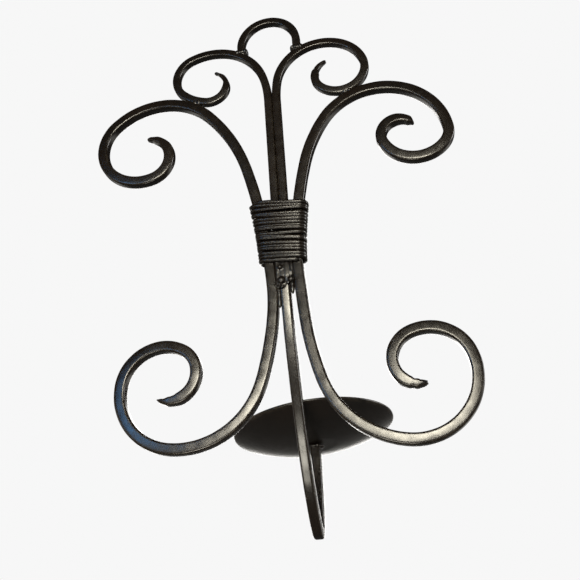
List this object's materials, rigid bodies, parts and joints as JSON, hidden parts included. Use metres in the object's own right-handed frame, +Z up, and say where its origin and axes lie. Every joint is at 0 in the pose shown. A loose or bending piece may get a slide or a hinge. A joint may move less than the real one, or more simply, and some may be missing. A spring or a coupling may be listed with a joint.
{
  "type": "wall sconce candle holder",
  "caption": "Wrought-iron wall sconce: scrolled square bars bound together with wire, a hanging loop on top, and a bent arm that carries a shallow dish for a pillar candle.",
  "frame": {"origin": "the point under the top of the hanging loop that bears on the nail, in the plane of the wall side of the side bars", "axes": "+Z up, +Y towards the wall, so the dish is out towards -Y and +X is the viewer's right when facing the wall"},
  "size_m": [0.2136, 0.1192, 0.3153],
  "materials": {
    "bar_paint": "satin black-brown paint over hammered iron bar",
    "dish_paint": "smooth satin black-brown paint over pressed sheet",
    "binding_wire": "satin black-brown paint over soft wire, brighter on the crests",
    "weld_metal": "painted weld bead, lumpy"
  },
  "bodies": {
    "root": {"binding_wire": "binding_wire", "candle_dish": "dish_paint", "dish_weld": "weld_metal", "hanging_loop": "bar_paint", "left_contact_weld": "weld_metal", "left_inner_scroll": "bar_paint", "left_loop_weld": "weld_metal", "left_scroll_bar": "bar_paint", "left_waist_weld": "weld_metal", "right_contact_weld": "weld_metal", "right_inner_scroll": "bar_paint", "right_loop_weld": "weld_metal", "right_scroll_bar": "bar_paint", "right_waist_weld": "weld_metal", "support_arm": "bar_paint"}
  },
  "joints": []
}
